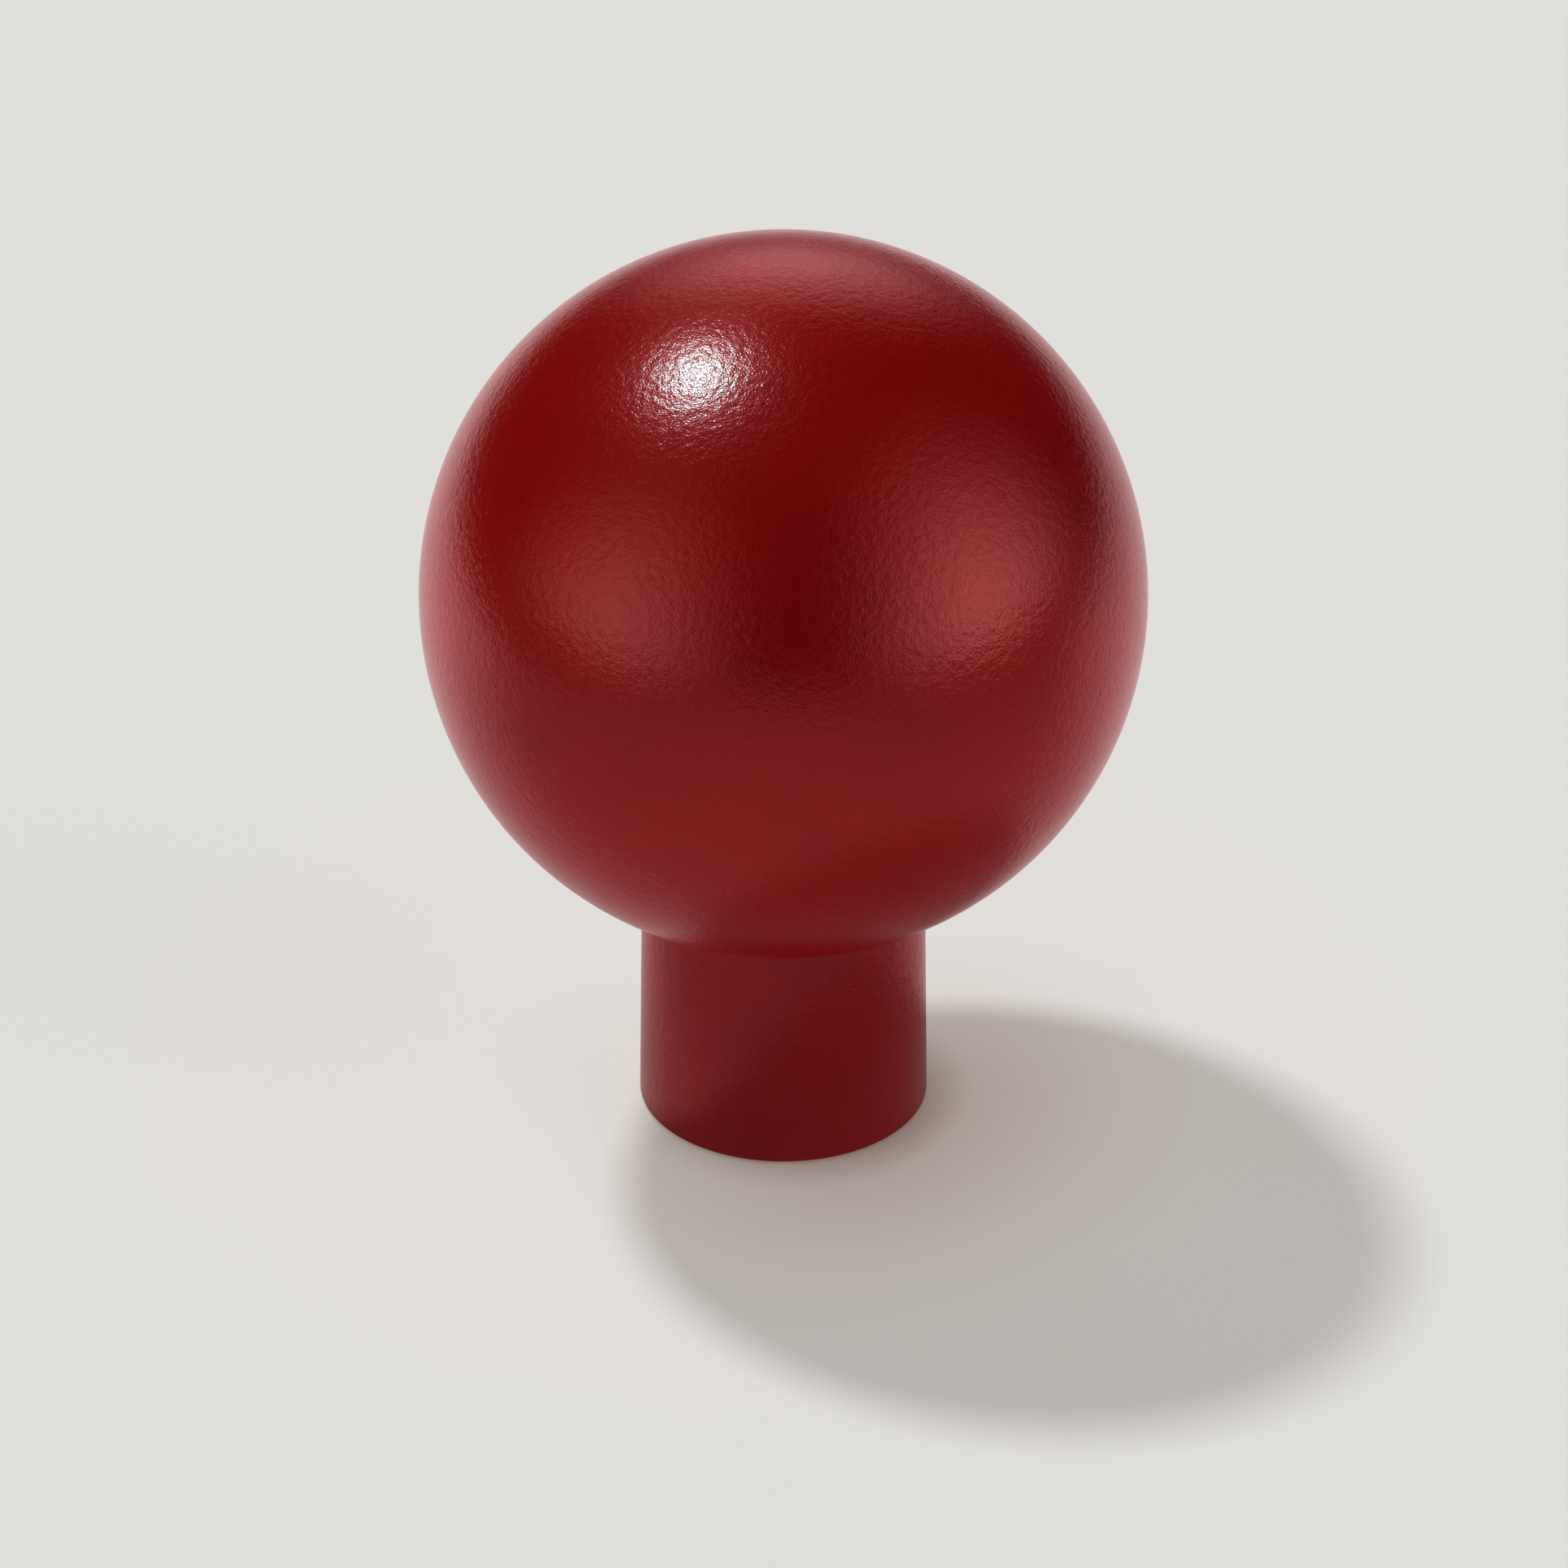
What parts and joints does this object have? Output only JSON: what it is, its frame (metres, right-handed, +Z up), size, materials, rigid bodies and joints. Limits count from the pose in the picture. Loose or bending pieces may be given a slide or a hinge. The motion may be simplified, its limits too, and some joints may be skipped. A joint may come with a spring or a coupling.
{
  "type": "croquet ball",
  "caption": "Croquet ball with a deep red satin finish, resting in the felt-lined dish of a short weighted round stand of the same finish, from which it lifts off.",
  "frame": {"origin": "on the resting surface, under the middle of the stand's foot", "axes": "+Z up, along the stand's axis and through the ball's centre; +X to the right and +Y away when the object is seen from the front"},
  "size_m": [0.092, 0.092, 0.1198],
  "materials": {
    "ball_red": "deep red, semi-gloss, with a fine orange-peel texture",
    "stand_red": "deep red, semi-gloss, with a fine orange-peel texture",
    "cork_rubber": "moulded cork granules in rubber, matte",
    "felt": "dense charcoal wool felt",
    "brass": "machined, with a straight knurl",
    "steel": "zinc plated",
    "foam": "closed-cell foam, matte",
    "cover_plastic": "fine moulded grain",
    "foot_rubber": "matte, finely pebbled"
  },
  "bodies": {
    "stand": {"stand_body": "stand_red", "seat_pad": "felt", "threaded_insert": "brass", "ballast_ring": "steel", "ballast_cushion": "foam", "base_cover": "cover_plastic", "lock_washer": "steel", "base_screw": "steel", "foot_pad": "foot_rubber"},
    "ball": {"ball_core": "cork_rubber", "ball_shell_lower": "ball_red", "ball_shell_upper": "ball_red"}
  },
  "joints": [
    {"name": "ball_lift", "type": "slide", "parent": "stand", "child": "ball", "axis": [0, 0, 1], "range_m": [0, 0.03]}
  ]
}
